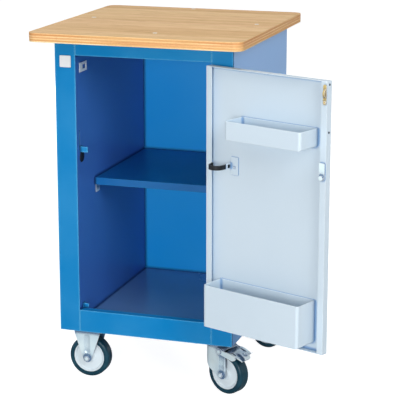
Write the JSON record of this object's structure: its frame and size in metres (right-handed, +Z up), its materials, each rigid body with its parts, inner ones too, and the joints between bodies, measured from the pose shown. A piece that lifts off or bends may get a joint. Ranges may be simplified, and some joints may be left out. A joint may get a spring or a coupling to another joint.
{
  "type": "mobile tool cabinet",
  "caption": "Sheet steel tool cabinet on swivel and fixed casters, with a plywood worktop, a shelf, and a hinged door that carries trays, a tool clip and a cam lock.",
  "frame": {"origin": "on the floor, under the middle of the outline's box, with the door open as in the picture", "axes": "+X to the cabinet's right seen from the front, +Y to its back, +Z up"},
  "size_m": [0.7186, 0.6371, 0.846],
  "materials": {
    "frame_blue": "smooth powder coat, satin",
    "side_blue": "smooth powder coat, satin",
    "inner_blue": "smooth powder coat, satin",
    "door_grey": "smooth powder coat, satin",
    "plywood": "beech plywood, oiled",
    "zinc_steel": "bright zinc plated",
    "ball_steel": "polished",
    "yellow_zinc": "yellow zinc plated steel, satin",
    "black_rubber": "matte",
    "black_plastic": "fine grain",
    "rim_plastic": "moulded, satin",
    "tyre_rubber": "solid rubber, matte"
  },
  "bodies": {
    "cabinet": {"side_panel_left": "side_blue", "side_panel_right": "side_blue", "inner_wall_left": "inner_blue", "inner_wall_right": "inner_blue", "back_panel": "frame_blue", "front_post_left": "frame_blue", "front_post_right": "frame_blue", "rear_posts": "frame_blue", "top_rail": "frame_blue", "bottom_rail": "frame_blue", "roof_panel": "frame_blue", "floor_panel": "inner_blue", "base_channels": "inner_blue", "worktop": "plywood", "worktop_screws": "zinc_steel", "shelf": "inner_blue", "shelf_clips": "zinc_steel", "keeper_tab": "frame_blue", "stop_tab": "frame_blue", "rubber_plug": "black_rubber", "catch_plate": "zinc_steel", "hinge_leaves_body": "zinc_steel", "hinge_pins": "zinc_steel", "caster_plates": "zinc_steel", "king_pins": "zinc_steel", "swivel_balls": "ball_steel", "caster_bolts": "zinc_steel", "fixed_forks": "zinc_steel", "fixed_axles": "zinc_steel"},
    "door": {"door_panel": "door_grey", "hinge_leaves_door": "zinc_steel", "lower_tray": "door_grey", "upper_tray": "door_grey", "clip_bracket": "door_grey", "tool_clip": "black_rubber", "door_catch": "yellow_zinc", "lock_barrel": "zinc_steel"},
    "lock": {"lock_knob": "black_plastic", "lock_cam": "zinc_steel"},
    "front_caster": {"front_swivel_fork": "zinc_steel", "front_swivel_axle": "zinc_steel", "front_brake_pin": "zinc_steel"},
    "front_brake": {"front_brake_pedal": "zinc_steel"},
    "front_wheel": {"front_swivel_rim": "rim_plastic", "front_swivel_tyre": "tyre_rubber"},
    "rear_caster": {"rear_swivel_fork": "zinc_steel", "rear_swivel_axle": "zinc_steel", "rear_brake_pin": "zinc_steel"},
    "rear_brake": {"rear_brake_pedal": "zinc_steel"},
    "rear_wheel": {"rear_swivel_rim": "rim_plastic", "rear_swivel_tyre": "tyre_rubber"},
    "front_fixed_wheel": {"front_fixed_rim": "rim_plastic", "front_fixed_tyre": "tyre_rubber"},
    "rear_fixed_wheel": {"rear_fixed_rim": "rim_plastic", "rear_fixed_tyre": "tyre_rubber"}
  },
  "joints": [
    {"name": "door_hinge", "type": "hinge", "parent": "cabinet", "child": "door", "pos_m": [0.05717, -0.14591, 0.4845], "axis": [0, 0, 1], "range_deg": [-159, 21]},
    {"name": "lock_turn", "type": "hinge", "parent": "door", "child": "lock", "pos_m": [0.34828, -0.27211, 0.578], "axis": [0.3584, 0.9336, 0], "range_deg": [0, 90]},
    {"name": "front_swivel", "type": "hinge", "parent": "cabinet", "child": "front_caster", "pos_m": [0.05167, -0.08241, 0.128], "axis": [0, 0, 1], "continuous": true},
    {"name": "front_wheel_spin", "type": "hinge", "parent": "front_caster", "child": "front_wheel", "pos_m": [0.08493, -0.09618, 0.05], "axis": [0.3827, 0.9239, 0], "continuous": true},
    {"name": "front_brake_press", "type": "hinge", "parent": "front_caster", "child": "front_brake", "pos_m": [0.07939, -0.09388, 0.1065], "axis": [0.3827, 0.9239, 0], "range_deg": [0, 6]},
    {"name": "rear_swivel", "type": "hinge", "parent": "cabinet", "child": "rear_caster", "pos_m": [0.05167, 0.2616, 0.128], "axis": [0, 0, 1], "continuous": true},
    {"name": "rear_wheel_spin", "type": "hinge", "parent": "rear_caster", "child": "rear_wheel", "pos_m": [0.08493, 0.24782, 0.05], "axis": [0.3827, 0.9239, 0], "continuous": true},
    {"name": "rear_brake_press", "type": "hinge", "parent": "rear_caster", "child": "rear_brake", "pos_m": [0.07939, 0.25011, 0.1065], "axis": [0.3827, 0.9239, 0], "range_deg": [0, 6]},
    {"name": "front_fixed_spin", "type": "hinge", "parent": "cabinet", "child": "front_fixed_wheel", "pos_m": [-0.26633, -0.08241, 0.05], "axis": [0, 1, 0], "continuous": true},
    {"name": "rear_fixed_spin", "type": "hinge", "parent": "cabinet", "child": "rear_fixed_wheel", "pos_m": [-0.26633, 0.2616, 0.05], "axis": [0, 1, 0], "continuous": true}
  ]
}
